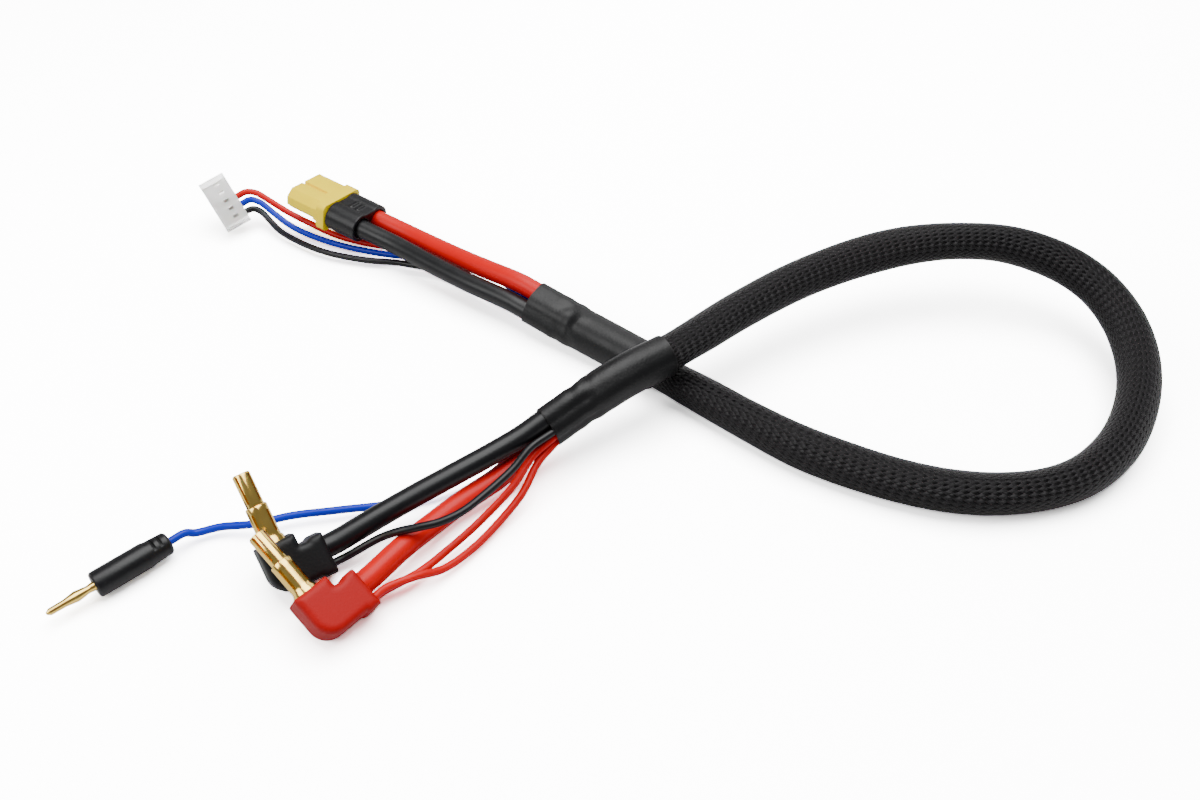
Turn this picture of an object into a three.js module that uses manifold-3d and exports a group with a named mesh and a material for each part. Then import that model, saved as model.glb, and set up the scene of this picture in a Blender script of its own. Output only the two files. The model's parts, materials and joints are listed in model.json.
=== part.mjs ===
// Charging lead for a two-cell model car battery: a yellow power plug and a white balance plug at the
// charger end, a braided cable loop, and two angled stepped bullet plugs and a thin pin plug at the
// battery end. Millimetres, +Z up, lying on the surface z = 0.
import * as THREE from 'three';
import { mergeVertices } from 'three/addons/utils/BufferGeometryUtils.js';
import Module from 'manifold-3d';

const wasm = await Module();
wasm.setup();

// ---------------------------------------------------------------- driving dimensions
const gap = 0.3;                       // between pieces that touch on the real lead
const powerWireDiameter = 5.2;         // silicone covered, each pole
const senseWireDiameter = 1.8;         // thin balance wires
const coreDiameter = 2.8;              // tinned copper of a power wire
const sleeveDiameter = 10;             // braided sleeve over the bundle
const shrinkDiameter = 10.6;           // heat shrink where it covers the sleeve
const shrinkNeck = [11.4, 9.6];        // oval of the heat shrink over the bare wires
const shrinkNeckShare = 0.3;           // part of its length that is neck

const plugWidth = 15.8;                // power plug at its flange
const plugHeight = 8.1;
const noseWidth = 13.7;                // the nose goes into the shell of the charger's plug
const noseHeight = 6.4;
const noseLength = 11.5;
const noseChamfer = 2;
const noseBase = 1.6;                  // deeper step between nose and flange
const noseBaseLip = 0.5;
const flangeLength = 2.6;
const flangeRounding = 1.6;
const coverLength = 10;
const coverWall = 0.9;
const coverWebShare = 0.9;             // height of the cover between its lobes, of its own height
const coverFloor = 1.3;                // its rear wall, with the wire holes
const coverRibs = [3.2, 5.4];          // places of the shallow ribs, from the wire end
const coverRib = [0.8, 3.2, 0.7];      // along, across and thick
const bossBack = 3.4;                  // rear face of the housing, inside the cover
const bossWeb = 2.4;
const contactPitch = 7.2;
const contactBore = 3.5;
const contactWall = 0.4;
const contactSetback = 0.6;            // its mouth, behind the mating face
const contactDepth = 14;               // from the mating face to the bottom of the cup
const contactFloor = 1.2;
const cupClearance = 0.25;             // round the core, filled with solder
const cupFront = 4.6;                  // front end of the solder cup
const wireEnd = 3;                     // where the covered wire ends, inside the cover
const grooveWidth = 1.2;
const grooveDepth = 0.7;

const balancePositions = 5;
const balancePitch = 2.5;
const balanceEndWall = 2.4;            // pin centre to the end of the housing
const balanceDepth = 7.6;              // along the mating direction
const balanceThickness = 5.75;
const balanceCell = 2.2;               // square passage of one terminal
const railWidth = 1.2;
const railInset = 0.4;
const railProud = 0.5;
const railStart = 1.2;
const windowWidth = 0.9;               // latch window of each passage
const windowRange = [2.4, 3.9];
const terminalSide = 1.5;
const terminalRange = [1.6, 6.8];
const terminalBore = 0.9;
const terminalFloor = 1.9;

const elbowSide = 8.4;                 // square section of an angled housing
const elbowMouth = 7;                  // from the corner axis to the plug mouth
const elbowArm = 9.4;                  // from the corner axis to the wire end
const elbowEdge = 1.4;                 // rounding of its edges
const elbowCollar = 0.5;
const wireFit = 0.2;                   // round a wire where it enters
const wireHoleDepth = 4;
const wireInserted = 3.5;
const wireWall = 0.24;
const bulletLarge = 4.7;               // turned body of the 5 mm step
const bulletSmall = 3.8;               // and of the 4 mm step
const bulletLargeLength = 8.3;
const bulletSmallLength = 7.5;
const barrelBack = 1.1;                // how far the barrel reaches behind the axis of the wire
const bulletSlot = 0.7;

const pinBodyDiameter = 6;
const pinBodyLength = 17.2;
const pinDiameter = 2;
const pinLength = 10.5;

// ---------------------------------------------------------------- colours
const paint = (color, roughness, metalness = 0) => ({ color, roughness, metalness });
const finish = {
  yellow: paint(0xf2d21c, 0.45),
  blackPlastic: paint(0x1d1d1f, 0.6),
  shrink: paint(0x2a2a2c, 0.42),
  sleeve: paint(0x1b1b1d, 0.75),
  gold: paint(0xd9b45b, 0.25, 1),
  copper: paint(0xc9c6c0, 0.35, 1),
  white: paint(0xf0efe8, 0.5),
  redRubber: paint(0xd21c1f, 0.5),
  redWire: paint(0xe02a24, 0.4),
  blackWire: paint(0x202022, 0.4),
  blueWire: paint(0x2a55cf, 0.4),
};

// ---------------------------------------------------------------- helpers
const lead = new THREE.Group();

function add(name, geometry, look, placement) {
  const mesh = new THREE.Mesh(geometry, new THREE.MeshStandardMaterial(look));
  mesh.name = name;
  if (placement) mesh.applyMatrix4(placement);
  lead.add(mesh);
  return mesh;
}

function solid(geometry) {
  const bare = geometry.clone();
  bare.deleteAttribute('normal');
  bare.deleteAttribute('uv');
  const merged = mergeVertices(bare, 1e-4);
  return new wasm.Manifold(new wasm.Mesh({
    numProp: 3,
    vertProperties: new Float32Array(merged.attributes.position.array),
    triVerts: new Uint32Array(merged.index.array),
  }));
}

function geometryOf(body) {
  const mesh = body.getMesh();
  const geometry = new THREE.BufferGeometry();
  geometry.setAttribute('position', new THREE.BufferAttribute(new Float32Array(mesh.vertProperties), 3));
  geometry.setIndex(new THREE.BufferAttribute(new Uint32Array(mesh.triVerts), 1));
  geometry.computeVertexNormals();
  return geometry;
}

const cut = (body, ...tools) => tools.reduce((rest, tool) => rest.subtract(solid(tool)), body);

// a box given by its ranges
function box([x0, x1], [y0, y1], [z0, z1]) {
  return new THREE.BoxGeometry(x1 - x0, y1 - y0, z1 - z0)
    .translate((x0 + x1) / 2, (y0 + y1) / 2, (z0 + z1) / 2);
}

// a round rod along X
function rodX(diameter, [x0, x1], y = 0, z = 0, sides = 32) {
  return new THREE.CylinderGeometry(diameter / 2, diameter / 2, x1 - x0, sides)
    .rotateZ(Math.PI / 2).translate((x0 + x1) / 2, y, z);
}

// a turned piece along +X from [x, radius] points that start and end on the axis
function turnedX(profile, sides = 32) {
  const points = profile.map(([x, r]) => new THREE.Vector2(r, x));
  return new THREE.LatheGeometry(points, sides).rotateZ(-Math.PI / 2);
}

function ovalShape(width, height, turn = 0, sides = 12) {
  const points = [];
  for (let i = 0; i < sides; i += 1) {
    const angle = (2 * Math.PI * i) / sides;
    const point = new THREE.Vector2(width / 2 * Math.cos(angle), height / 2 * Math.sin(angle));
    points.push(point.rotateAround(new THREE.Vector2(), turn));
  }
  return new THREE.Shape(points);
}

const curveThrough = (points) => new THREE.CatmullRomCurve3(
  points.map((p) => new THREE.Vector3(...p)), false, 'centripetal');

// a cord or sleeve: an oval swept along a curve
function sweep(curve, shape, stepLength) {
  const steps = Math.max(3, Math.round(curve.getLength() / stepLength));
  return new THREE.ExtrudeGeometry(shape, { steps, extrudePath: curve });
}

function cord(name, points, diameter, look) {
  const sides = diameter < 4 ? 8 : 12;
  const ring = ovalShape(diameter, diameter, Math.PI / sides, sides);
  add(name, sweep(curveThrough(points), ring, diameter * (diameter < 4 ? 2.4 : 1.6)), look);
}

// a frame whose +X points along `yaw` and rises by `rise`, rolled about itself, at `place`
function placement(place, yaw, rise, roll) {
  const degrees = THREE.MathUtils.degToRad;
  const turn = new THREE.Euler(degrees(roll), -degrees(rise), degrees(yaw), 'ZYX');
  return new THREE.Matrix4().makeRotationFromEuler(turn).setPosition(...place);
}

// a rounded rectangle in the plane of a shape
function roundedRectangle(width, height, radius) {
  const [w, h] = [width / 2, height / 2];
  const shape = new THREE.Shape();
  shape.absarc(w - radius, h - radius, radius, 0, Math.PI / 2);
  shape.absarc(radius - w, h - radius, radius, Math.PI / 2, Math.PI);
  shape.absarc(radius - w, radius - h, radius, Math.PI, 1.5 * Math.PI);
  shape.absarc(w - radius, radius - h, radius, 1.5 * Math.PI, 2 * Math.PI);
  return shape;
}

// an outline in the Y-Z plane extruded along X
function alongX(shape, [x0, x1], curveSegments = 6) {
  const geometry = new THREE.ExtrudeGeometry(shape, { depth: x1 - x0, bevelEnabled: false, curveSegments });
  // the outline's x becomes Y and its y becomes Z
  return geometry.applyMatrix4(new THREE.Matrix4().set(0, 0, 1, x0, 1, 0, 0, 0, 0, 1, 0, 0, 0, 0, 0, 1));
}

// ---------------------------------------------------------------- routes, chosen by hand
const sleeveRoute = [
  [14.7, 4.8, 5.3], [24.5, -3.1, 5.1], [35.9, -12.7, 5.1], [46.8, -21, 5.1], [57.5, -27, 5.1],
  [68.2, -31.7, 5.1], [78.8, -34.7, 5.1], [89.9, -35.6, 5.1], [101.6, -33.9, 5.1],
  [110.5, -30.3, 5.5], [119.4, -23.1, 6.2], [125.9, -14.3, 7.2], [130.6, -3.9, 8.8],
  [132.5, 6.6, 10.8], [131.6, 17.5, 13], [127.5, 26.9, 15.2], [119.8, 33.6, 17.5],
  [107.4, 38.2, 19.6], [94.3, 38.7, 20.5], [80.8, 36.9, 20.5], [67.2, 32.7, 19.8],
  [50.9, 25.2, 18.4], [35.1, 14.8, 17], [24.5, 6, 16.5], [16.3, -1, 16.4],
];
const chargerShrinkRoute = [[-17.4, 28.4, 8.2], [-8.3, 22.1, 6.9], [2, 14.9, 5.8], [14.2, 5.2, 5.4]];
const batteryShrinkRoute = [[-12.2, -20.2, 10.8], [-4.7, -15.1, 13.2], [5.9, -8.2, 15.9], [15.5, -1.7, 16.4]];

const powerRed = [[-66.3, 68.1, 8.2], [-63.7, 66.6, 7.8], [-53.5, 60.4, 6.7], [-41.8, 50.6, 7.8],
  [-32.4, 42.3, 9.4], [-21.3, 33.9, 10.5], [-16.4, 30.5, 9.9]];
const powerBlack = [[-69.8, 62, 9.3], [-67.3, 60.4, 9], [-57.1, 54.3, 7.8], [-46.3, 46.1, 7.4],
  [-35.6, 38, 7.4], [-24.2, 30.3, 7.3], [-19.3, 26.9, 6.7]];
const senseRed = [[-107, 75.5, 8.9], [-106, 76.1, 9.2], [-103.5, 77.4, 9.9], [-100.6, 77.4, 9.5],
  [-96.8, 76.2, 7.6], [-92, 74.6, 5], [-85.2, 71.6, 3], [-75.4, 66, 2.2], [-61.6, 61.3, 2],
  [-49.9, 59.2, 2.4], [-38.5, 54.8, 3.8], [-32, 50.4, 5], [-26, 43.4, 6.4], [-20.8, 35.6, 7.1],
  [-15.9, 31.7, 6.5]];
const senseBlue = [[-105.8, 74.3, 7.1], [-104.8, 74.9, 7.4], [-102.3, 76.1, 8.1], [-99.4, 75.4, 7.5],
  [-95.6, 73.4, 5.3], [-91, 70.6, 3.2], [-85.4, 67.4, 2.2], [-74.8, 62.1, 2], [-61.3, 57.8, 2],
  [-49.6, 55.4, 2.3], [-38.5, 50.6, 3.2], [-31, 46, 4.4], [-25, 38.6, 5.8], [-21.8, 34.2, 6],
  [-16.9, 30.5, 5.4]];
const senseBlack = [[-104.6, 73.1, 5.3], [-103.6, 73.7, 5.6], [-101.5, 74.6, 5.9], [-99.2, 74.1, 5.1],
  [-96.8, 72, 3.8], [-93.4, 68.5, 2.6], [-87.9, 64.2, 2.2], [-78.4, 58.5, 2.2], [-66.6, 55, 2], [-56.5, 53.6, 2],
  [-46, 50, 2.2], [-37, 44.4, 2.8], [-29, 37.6, 3.8], [-22.8, 32.9, 4.6], [-17.9, 29.3, 4.2]];

const packBlack = [[-13.2, -20.9, 13.4], [-18, -24.3, 11.9], [-24, -28.3, 10.8], [-32, -33.6, 9.8],
  [-40.2, -38.9, 8.7], [-48.6, -44.6, 7.5], [-56.4, -50.1, 6.3], [-58.6, -51.7, 6.3], [-61.5, -53.7, 6.3]];
const packRed = [[-12, -20.1, 8], [-16.8, -23.8, 6.2], [-22.9, -30.4, 5], [-31.2, -37.9, 4.6],
  [-37.3, -44.8, 4.8], [-42.2, -51.6, 6], [-48, -59.3, 5.8], [-49.8, -61.5, 5.8], [-52, -64.2, 5.8]];
const senseRedFirst = [[-10.6, -23.4, 10.7], [-15.2, -27.4, 8.8], [-19.4, -34.4, 6.6],
  [-26.5, -42.3, 3.6], [-32.6, -49, 2.6], [-38.4, -55.6, 2.8], [-45.9, -61.1, 2.7], [-47.7, -63.2, 2.7],
  [-50, -65.9, 2.7]];
const senseRedSecond = [[-10.2, -23.1, 8.7], [-14.2, -27.6, 6.7], [-17.6, -35, 4.4], [-22.6, -41.8, 2.4],
  [-27.8, -48.6, 1.8], [-33.6, -54.8, 2.6], [-39, -58.5, 4.8], [-44.9, -61.9, 5.1], [-46.7, -64.1, 5.1],
  [-48.9, -66.8, 5.1]];
const senseBlackPack = [[-11, -23.8, 12.6], [-15.6, -27.6, 11.8], [-19.5, -34.5, 11.8],
  [-25.2, -41.7, 11.6], [-29.6, -46.3, 11.4], [-34.1, -48.7, 10.9], [-38.3, -49.7, 10.5],
  [-42.6, -49.9, 9.4], [-47.3, -49.7, 6.8], [-54.8, -52.3, 3.5], [-57.1, -53.9, 3.5],
  [-59.9, -55.9, 3.5]];
const senseBlueFar = [[-14.5, -17.8, 10.7], [-19.2, -21.4, 8.8], [-29.9, -28, 4], [-38.7, -33, 2.4],
  [-46.4, -35.7, 2], [-58.4, -38.2, 2.6], [-69.1, -40.3, 3], [-76.4, -42.6, 3], [-84.2, -43, 2.4],
  [-89.3, -44.7, 2.4], [-91, -45.6, 3.5], [-93.8, -48.2, 3.6], [-99.6, -53.7, 3.6]];

// ---------------------------------------------------------------- power plug, charger end
// local frame: +X from the wires to the mating face, Y across the two poles, origin at the wire end
const plugPlace = placement([-65.5, 63.5, 8.4], 149, 6, 9);
const plugTotal = coverLength + gap + flangeLength + noseLength;
const poles = [['red', -contactPitch / 2], ['black', contactPitch / 2]];
const contactOuter = contactBore + 2 * contactWall;
const flangeBack = coverLength + gap;
const bossDiameter = plugHeight - 2 * (coverWall + gap);

function noseOutline(lip = 0) {
  const [w, h, c] = [noseWidth / 2 + lip, noseHeight / 2 + lip, noseChamfer];
  const shape = new THREE.Shape();
  shape.moveTo(-w, -h);
  shape.lineTo(w - c, -h);
  shape.lineTo(w, c - h);
  shape.lineTo(w, h - c);
  shape.lineTo(w - c, h);
  shape.lineTo(-w, h);
  return shape;
}

function powerPlugHousing() {
  const front = plugTotal;
  const flangeFront = flangeBack + flangeLength;
  let body = solid(alongX(noseOutline(), [flangeBack, front]));
  body = body.add(solid(alongX(noseOutline(noseBaseLip), [flangeBack, flangeFront + noseBase])));
  const flange = roundedRectangle(plugWidth, plugHeight, flangeRounding);
  body = body.add(solid(alongX(flange, [flangeBack, flangeFront])));
  for (const [, y] of poles) {
    body = body.add(solid(rodX(bossDiameter, [bossBack, flangeBack + 0.5], y)));
  }
  body = body.add(solid(box([bossBack, flangeBack + 0.5], [-contactPitch / 2, contactPitch / 2],
    [-bossWeb / 2, bossWeb / 2])));
  const grooves = [-1, 1].map((side) => box([front - noseLength * 0.75, front + 1],
    [-grooveWidth / 2, grooveWidth / 2],
    side > 0 ? [noseHeight / 2 - grooveDepth, noseHeight] : [-noseHeight, grooveDepth - noseHeight / 2]));
  const bores = poles.map(([, y]) => rodX(contactOuter + 2 * gap, [0, front + 1], y));
  return geometryOf(cut(body, ...grooves, ...bores));
}

// the rear cover: two joined lobes, hollow from the front, with a hole for each wire
function powerPlugCover() {
  const webHeight = plugHeight * coverWebShare;
  const lobes = (diameter, range, web) => {
    let body = solid(rodX(diameter, range, poles[0][1]));
    body = body.add(solid(rodX(diameter, range, poles[1][1])));
    return body.add(solid(box(range, [-contactPitch / 2, contactPitch / 2], [-web / 2, web / 2])));
  };
  const outer = lobes(plugHeight, [0, coverLength], webHeight);
  const hollow = lobes(bossDiameter + 2 * gap, [coverFloor, coverLength + 1],
    webHeight - 4 * coverWall);
  let body = outer.subtract(hollow);
  body = cut(body, ...poles.map(([, y]) => rodX(powerWireDiameter + 2 * gap,
    [-1, coverFloor + 1], y)));
  const [ribLength, ribAcross, ribThick] = coverRib;
  for (const x of coverRibs) {
    for (const z of [-webHeight / 2, webHeight / 2]) {
      body = body.add(solid(box([x, x + ribLength], [-ribAcross / 2, ribAcross / 2],
        [z - ribThick / 2, z + ribThick / 2])));
    }
  }
  return geometryOf(body);
}

function powerContact(y) {
  const outer = contactOuter / 2;
  const [front, stop, cup] = [plugTotal - contactSetback, plugTotal - contactDepth, cupFront];
  const cupBore = coreDiameter / 2 + cupClearance;
  const profile = [[stop, 0], [stop, cupBore], [cup, cupBore], [cup, outer], [front, outer],
    [front, contactBore / 2], [stop + contactFloor, contactBore / 2], [stop + contactFloor, 0]];
  return turnedX(profile, 28).translate(0, y, 0);
}

add('power_plug_housing', powerPlugHousing(), finish.yellow, plugPlace);
add('power_plug_cover', powerPlugCover(), finish.blackPlastic, plugPlace);
for (const [pole, y] of poles) {
  add(`power_contact_${pole}`, powerContact(y), finish.gold, plugPlace);
  const core = rodX(coreDiameter, [wireEnd + gap, plugTotal - contactDepth - gap], y, 0, 16);
  add(`power_core_${pole}`, core, finish.copper, plugPlace);
}

// ---------------------------------------------------------------- balance plug, charger end
// local frame: +X along the row of terminals, +Y towards the mating face, Z through the thickness
const balancePlace = new THREE.Matrix4().makeBasis(
  new THREE.Vector3(-0.5, 0.48, 0.72).normalize(), new THREE.Vector3(-0.8347, -0.4862, -0.2555),
  new THREE.Vector3(0.2274, -0.7301, 0.6447)).setPosition(-102.35, 72.5, 3.9);
const balanceLength = balanceEndWall * 2 + balancePitch * (balancePositions - 1);
const cellAt = (index) => balanceEndWall + balancePitch * index;

function balanceHousing() {
  let body = solid(box([0, balanceLength], [0, balanceDepth],
    [-balanceThickness / 2, balanceThickness / 2]));
  // two guide rails on the wide face, at the ends of the row
  for (const x of [railInset, balanceLength - railInset - railWidth]) {
    body = body.add(solid(box([x, x + railWidth], [railStart, balanceDepth],
      [0, balanceThickness / 2 + railProud])));
  }
  const half = balanceCell / 2;
  for (let i = 0; i < balancePositions; i += 1) {
    const x = cellAt(i);
    body = cut(body, box([x - half, x + half], [-1, balanceDepth + 1], [-half, half]),
      box([x - windowWidth / 2, x + windowWidth / 2], windowRange, [0, balanceThickness]));
  }
  return geometryOf(body);
}

add('balance_plug_housing', balanceHousing(), finish.white, balancePlace);
['black', 'blue', 'red'].forEach((colour, index) => {
  const half = terminalSide / 2;
  const x = cellAt(index);
  const bore = terminalBore / 2;
  const shell = cut(solid(box([x - half, x + half], terminalRange, [-half, half])),
    box([x - bore, x + bore], [terminalRange[0] + terminalFloor, balanceDepth], [-bore, bore]));
  add(`balance_terminal_${colour}`, geometryOf(shell), finish.copper, balancePlace);
});

// ---------------------------------------------------------------- heat shrink and braided sleeve
function heatShrink(route, turn) {
  const curve = curveThrough(route);
  const neckEnd = shrinkNeckShare;
  const partOf = (from, to, count) => {
    const points = [];
    for (let i = 0; i <= count; i += 1) {
      const at = curve.getPointAt(from + (to - from) * i / count);
      points.push([at.x, at.y, at.z]);
    }
    return curveThrough(points);
  };
  const neck = sweep(partOf(0, neckEnd + 0.06, 4), ovalShape(shrinkNeck[1], shrinkNeck[0], turn, 24), 3);
  const sock = sweep(partOf(neckEnd, 1, 6), ovalShape(shrinkDiameter, shrinkDiameter, 0, 24), 3.5);
  return geometryOf(solid(neck).add(solid(sock)));
}

add('charger_heat_shrink', heatShrink(chargerShrinkRoute, THREE.MathUtils.degToRad(-35)), finish.shrink);
add('battery_heat_shrink', heatShrink(batteryShrinkRoute, Math.PI / 2), finish.shrink);
cord('braided_sleeve', sleeveRoute, sleeveDiameter, finish.sleeve);

// ---------------------------------------------------------------- wires
cord('power_wire_red', powerRed, powerWireDiameter, finish.redWire);
cord('power_wire_black', powerBlack, powerWireDiameter, finish.blackWire);
cord('charger_sense_red', senseRed, senseWireDiameter, finish.redWire);
cord('charger_sense_blue', senseBlue, senseWireDiameter, finish.blueWire);
cord('charger_sense_black', senseBlack, senseWireDiameter, finish.blackWire);
cord('pack_wire_black', packBlack, powerWireDiameter, finish.blackWire);
cord('pack_wire_red', packRed, powerWireDiameter, finish.redWire);
cord('pack_sense_red_first', senseRedFirst, senseWireDiameter, finish.redWire);
cord('pack_sense_red_second', senseRedSecond, senseWireDiameter, finish.redWire);
cord('pack_sense_black', senseBlackPack, senseWireDiameter, finish.blackWire);
cord('pack_sense_blue', senseBlueFar, senseWireDiameter, finish.blueWire);

// ---------------------------------------------------------------- angled bullet plugs, battery end
// local frame: origin on the crossing of the two axes, +X towards the wires, +Z towards the bullet
const barrelDiameter = bulletLarge + 0.8;

function elbowHousing(senseCount) {
  const [s, e, m] = [elbowSide / 2 - elbowEdge, elbowArm - elbowEdge, elbowMouth - elbowEdge];
  const shape = new THREE.Shape();
  const corner = 3;
  shape.moveTo(-s, m);
  shape.lineTo(-s, corner - s);
  shape.absarc(corner - s, corner - s, corner, Math.PI, 1.5 * Math.PI);
  shape.lineTo(e - 1.2, -s);
  shape.lineTo(e - 0.9, -s - elbowCollar);
  shape.lineTo(e, -s - elbowCollar);
  shape.lineTo(e, s + elbowCollar);
  shape.lineTo(e - 0.9, s + elbowCollar);
  shape.lineTo(e - 1.6, s);
  shape.lineTo(s + 0.9, s);
  shape.lineTo(s, s + 0.9);
  shape.lineTo(s, m);
  const depth = elbowSide - 2 * elbowEdge;
  const block = new THREE.ExtrudeGeometry(shape, {
    depth, bevelEnabled: true, bevelThickness: elbowEdge, bevelSize: elbowEdge, bevelSegments: 3,
    curveSegments: 5,
  }).translate(0, 0, -depth / 2).rotateX(Math.PI / 2);
  const mouth = rodX(barrelDiameter + 2 * gap, [-barrelBack - gap, elbowMouth + 1]).rotateY(-Math.PI / 2);
  const seat = elbowArm - wireHoleDepth;
  const wire = rodX(powerWireDiameter + 2 * wireFit, [seat, elbowArm + 1], 0, thickWireLift);
  const core = rodX(coreDiameter + 2 * gap, [0, seat + 0.5], 0, thickWireLift, 16);
  const thin = senseOffsets(senseCount).map((y) => rodX(senseWireDiameter + 2 * wireFit,
    [seat, elbowArm + 1], y, thinWireDrop, 12));
  return geometryOf(cut(solid(block), mouth, wire, core, ...thin));
}

const thickWireLift = elbowSide / 2 - wireWall - wireFit - powerWireDiameter / 2;
const thinWireDrop = wireWall + wireFit + senseWireDiameter / 2 - elbowSide / 2;
const senseOffsets = (count) => (count === 1 ? [0] : [-1.35, 1.35]);

function bullet() {
  const [large, small, barrel] = [bulletLarge / 2, bulletSmall / 2, barrelDiameter / 2];
  const [mouth, step] = [elbowMouth + 0.2, elbowMouth + bulletLargeLength];
  const tip = step + bulletSmallLength;
  const profile = [[-barrelBack, 0], [-barrelBack, barrel], [mouth + 0.4, barrel], [mouth + 1, large],
    [step - 0.5, large], [step, small], [tip - 0.5, small], [tip, small - 0.5], [tip, 0]];
  let body = solid(turnedX(profile, 36).rotateY(-Math.PI / 2));
  body = cut(body, rodX(coreDiameter + 2 * gap, [-0.9, 10], 0, thickWireLift, 16));
  const half = bulletSlot / 2;
  const slots = [[mouth + 1.8, step - 1.3, large], [step + 0.8, tip + 1, small]];
  for (const [from, to, radius] of slots) {
    // a centre bore would shut the part in, so the slots cross right through
    body = cut(body, box([-radius - 1, radius + 1], [-half, half], [from, to]));
  }
  return geometryOf(body);
}

const elbows = [
  ['red', [-55.1, -69.3, 5.3], 50, 30, 2],
  ['black', [-65.9, -57.7, 5.5], 35, 45, 1],
];
for (const [pole, place, yaw, tilt, senseCount] of elbows) {
  const frame = placement(place, yaw, 0, tilt - 90);
  add(`elbow_housing_${pole}`, elbowHousing(senseCount), pole === 'red' ? finish.redRubber
    : finish.blackPlastic, frame);
  add(`bullet_${pole}`, bullet(), finish.gold, frame);
  add(`bullet_core_${pole}`, rodX(coreDiameter,
    [-0.5, elbowArm - wireInserted - gap], 0, thickWireLift, 16), finish.copper,
    frame);
}

// ---------------------------------------------------------------- pin plug, battery end
// local frame: +X from the wire to the tip
const pinPlace = placement([-93.8, -48.2, 3.6], 223.2, 0, 0);

function pinBody() {
  const radius = pinBodyDiameter / 2;
  const profile = [[0, 0], [0, radius - 0.9], [0.5, radius - 0.4], [4.6, radius - 0.2], [5.4, radius],
    [pinBodyLength - 0.4, radius], [pinBodyLength, radius - 0.4], [pinBodyLength, 0]];
  let body = solid(turnedX(profile, 28));
  // strain relief notches, alternating on the two sides of the tail
  for (const x of [1.6, 3.2]) {
    body = cut(body, box([x, x + 0.7], [-radius, radius], [radius - 1.1, radius + 1]),
      box([x + 0.8, x + 1.5], [-radius, radius], [-radius - 1, 1.1 - radius]));
  }
  return geometryOf(cut(body, rodX(senseWireDiameter + 2 * gap, [-1, 9], 0, 0, 16),
    rodX(pinDiameter + 2 * gap, [8, pinBodyLength + 1], 0, 0, 16)));
}

function pinContact() {
  const r = pinDiameter / 2;
  const base = pinBodyLength;
  const profile = [[9.2, 0], [9.2, r], [base + 0.6, r], [base + 1.4, r - 0.15], [base + 4, r + 0.25],
    [base + 6.5, r - 0.15], [base + pinLength - 0.8, r - 0.2], [base + pinLength, 0.3],
    [base + pinLength, 0]];
  return turnedX(profile, 24);
}

add('pin_plug_body', pinBody(), finish.blackPlastic, pinPlace);
add('pin_plug_contact', pinContact(), finish.gold, pinPlace);

// ---------------------------------------------------------------- origin
// under the middle of the plugs, housings and heat shrink, on the surface that the lead lies on
const cordNames = ['braided_sleeve', 'power_wire', 'charger_sense', 'pack_wire', 'pack_sense'];
const bounds = new THREE.Box3();
lead.updateMatrixWorld(true);
for (const mesh of lead.children) {
  if (!cordNames.some((start) => mesh.name.startsWith(start))) {
    bounds.union(new THREE.Box3().setFromObject(mesh, true));
  }
}
const middle = bounds.getCenter(new THREE.Vector3());
const group = new THREE.Group();
lead.position.set(-middle.x, -middle.y, -bounds.min.z);
group.add(lead);

export default group;
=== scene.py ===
# %% [markdown]
# # A balance charge lead, piece by piece
# The lead joins a charger to a two-cell model car battery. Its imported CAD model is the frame: it gives
# every place and size in metres, and this lesson puts the finished surfaces on it. First come the camera
# and the cables, because they take up most of the view, and then the plugs from big to small.

# %% Load the frame
import json
import math

import bmesh
import bpy
from mathutils import Matrix, Vector


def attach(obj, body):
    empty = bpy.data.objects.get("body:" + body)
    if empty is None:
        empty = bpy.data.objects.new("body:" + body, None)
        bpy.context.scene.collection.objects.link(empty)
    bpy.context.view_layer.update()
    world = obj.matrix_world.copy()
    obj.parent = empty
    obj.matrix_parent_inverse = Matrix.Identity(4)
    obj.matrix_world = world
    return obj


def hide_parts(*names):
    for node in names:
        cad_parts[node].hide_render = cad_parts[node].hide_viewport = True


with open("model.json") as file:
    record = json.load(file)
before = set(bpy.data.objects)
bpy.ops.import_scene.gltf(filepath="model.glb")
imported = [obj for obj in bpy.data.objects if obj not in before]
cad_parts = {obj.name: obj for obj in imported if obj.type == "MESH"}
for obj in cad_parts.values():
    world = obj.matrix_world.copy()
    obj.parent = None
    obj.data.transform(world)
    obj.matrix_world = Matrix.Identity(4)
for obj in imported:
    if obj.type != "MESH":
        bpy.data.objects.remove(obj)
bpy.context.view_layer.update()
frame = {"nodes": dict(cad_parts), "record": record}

# %% [markdown]
# ## Units and places
# The routes below are in millimetres, about the point of the table that the camera looks at. The packed
# frame has its origin under the plugs instead, so one constant offset moves a point from one to the other.

# %% Places
MM = 0.001
TABLE_POINT = Vector((49.136, -3.981, 0.175))


def place(point):
    """A point of the table, in mm, as a point of the frame, in metres."""
    return (Vector(point) + TABLE_POINT) * MM


# %% [markdown]
# ## The camera
# A cable that lies on a table is seen best from the front and above. A slightly wide lens near the table
# makes the near plugs look larger than the far ones. The camera is placed by its height angle and its
# distance to the point it looks at, because those two can be changed one at a time.

# %% Camera
camera_height_angle = math.radians(44)
camera_distance = 287.5
camera_data = bpy.data.cameras.new("camera")
camera_data.sensor_width = 36
camera_data.lens = 34.5
camera_data.clip_start = 0.01
camera = bpy.data.objects.new("camera", camera_data)
bpy.context.scene.collection.objects.link(camera)
camera.location = place((0, -camera_distance * math.cos(camera_height_angle),
                         camera_distance * math.sin(camera_height_angle)))
camera.rotation_euler = (math.pi / 2 - camera_height_angle, 0, 0)
bpy.context.scene.camera = camera
print("camera at", [round(v, 3) for v in camera.location])

# %% [markdown]
# ## Node groups for the finishes
# A finish is more than its colour: a moulded or rubber surface has slow changes of tone, a fine grain and
# uneven gloss. That effect is the same for most pieces with other values, so it is one node group with
# named inputs, built once. The small helpers below only save typing when nodes are added and joined.


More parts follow.
